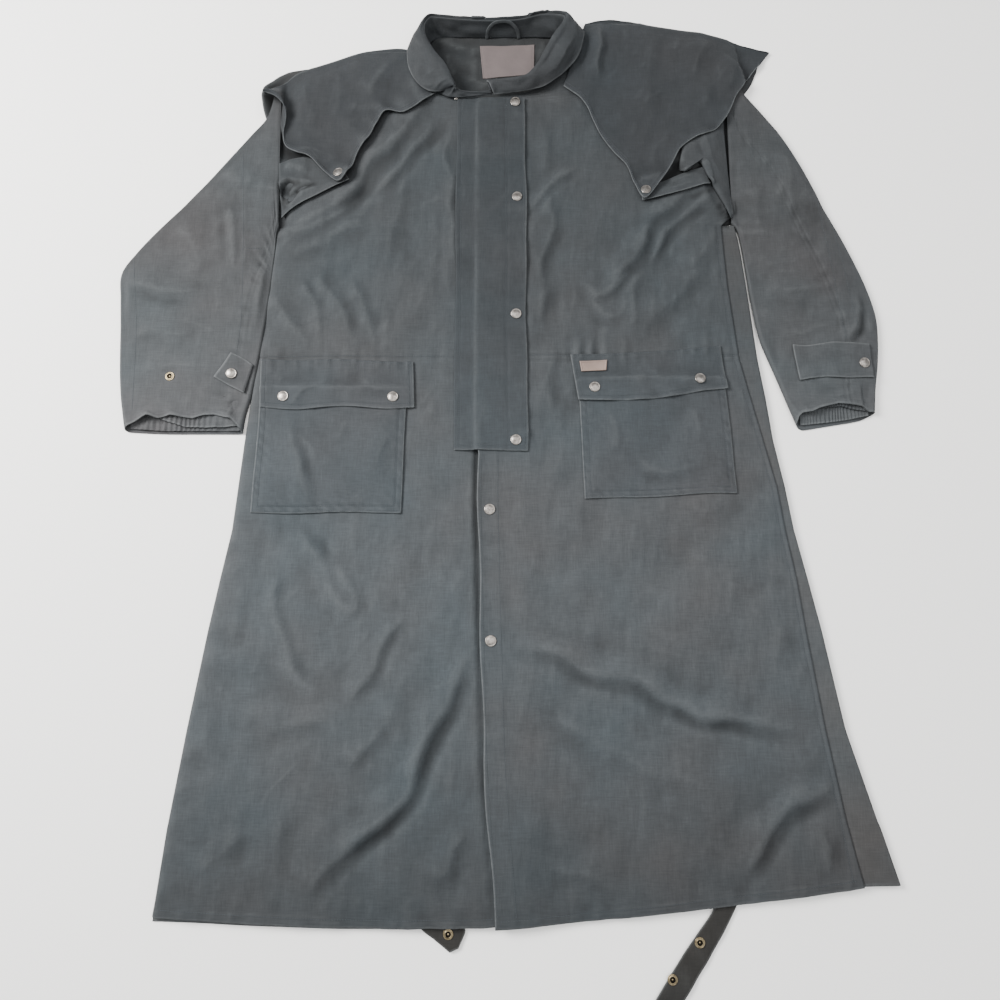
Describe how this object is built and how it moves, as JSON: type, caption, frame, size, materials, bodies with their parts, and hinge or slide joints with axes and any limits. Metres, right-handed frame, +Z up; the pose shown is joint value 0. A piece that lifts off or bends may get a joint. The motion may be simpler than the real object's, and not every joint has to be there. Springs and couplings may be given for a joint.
{
  "type": "duster coat",
  "caption": "Long riding duster coat in waxed cotton, laid flat front up with its storm flap snapped, short shoulder cape, patch pockets, stand collar and leg straps.",
  "frame": {"origin": "middle of the bounding box of the whole coat, on the surface it lies on", "axes": "+X to the right as the coat is seen from the front, +Y from the hem to the collar, +Z up from the surface, out of the coat's front"},
  "size_m": [1.0856, 1.3992, 0.0401],
  "materials": {
    "waxed_cotton": "dark slate grey-green waxed cotton, matt with a slight sheen, worn paler at the edges",
    "snap_metal": "nickel-plated snap caps, satin",
    "socket_brass": "dull brass sockets",
    "label_mauve": "bare woven label, mauve brown",
    "label_tan": "bare tan patch with a raised edge"
  },
  "bodies": {
    "root": {"back": "waxed_cotton", "cape_back": "waxed_cotton", "cape_front_left": "waxed_cotton", "cape_front_right": "waxed_cotton", "cape_strap_left": "waxed_cotton", "cape_strap_right": "waxed_cotton", "collar": "waxed_cotton", "collar_stand": "waxed_cotton", "front_left": "waxed_cotton", "front_right": "waxed_cotton", "hanger_loop": "waxed_cotton", "leg_strap_left": "waxed_cotton", "leg_strap_right": "waxed_cotton", "neck_label": "label_mauve", "pocket_flap_left": "waxed_cotton", "pocket_flap_right": "waxed_cotton", "pocket_label": "label_tan", "pocket_left": "waxed_cotton", "pocket_right": "waxed_cotton", "sleeve_left": "waxed_cotton", "sleeve_right": "waxed_cotton", "sleeve_tab_left": "waxed_cotton", "sleeve_tab_right": "waxed_cotton", "snap_cape_left": "snap_metal", "snap_cape_right": "snap_metal", "snap_flap_1": "snap_metal", "snap_flap_2": "snap_metal", "snap_flap_3": "snap_metal", "snap_flap_4": "snap_metal", "snap_front_1": "snap_metal", "snap_front_2": "snap_metal", "snap_pocket_left_1": "snap_metal", "snap_pocket_left_2": "snap_metal", "snap_pocket_right_1": "snap_metal", "snap_pocket_right_2": "snap_metal", "snap_tab_left": "snap_metal", "snap_tab_right": "snap_metal", "socket_leg_left": "socket_brass", "socket_leg_right_1": "socket_brass", "socket_leg_right_2": "socket_brass", "socket_sleeve_left": "socket_brass", "storm_flap": "waxed_cotton"}
  },
  "joints": []
}
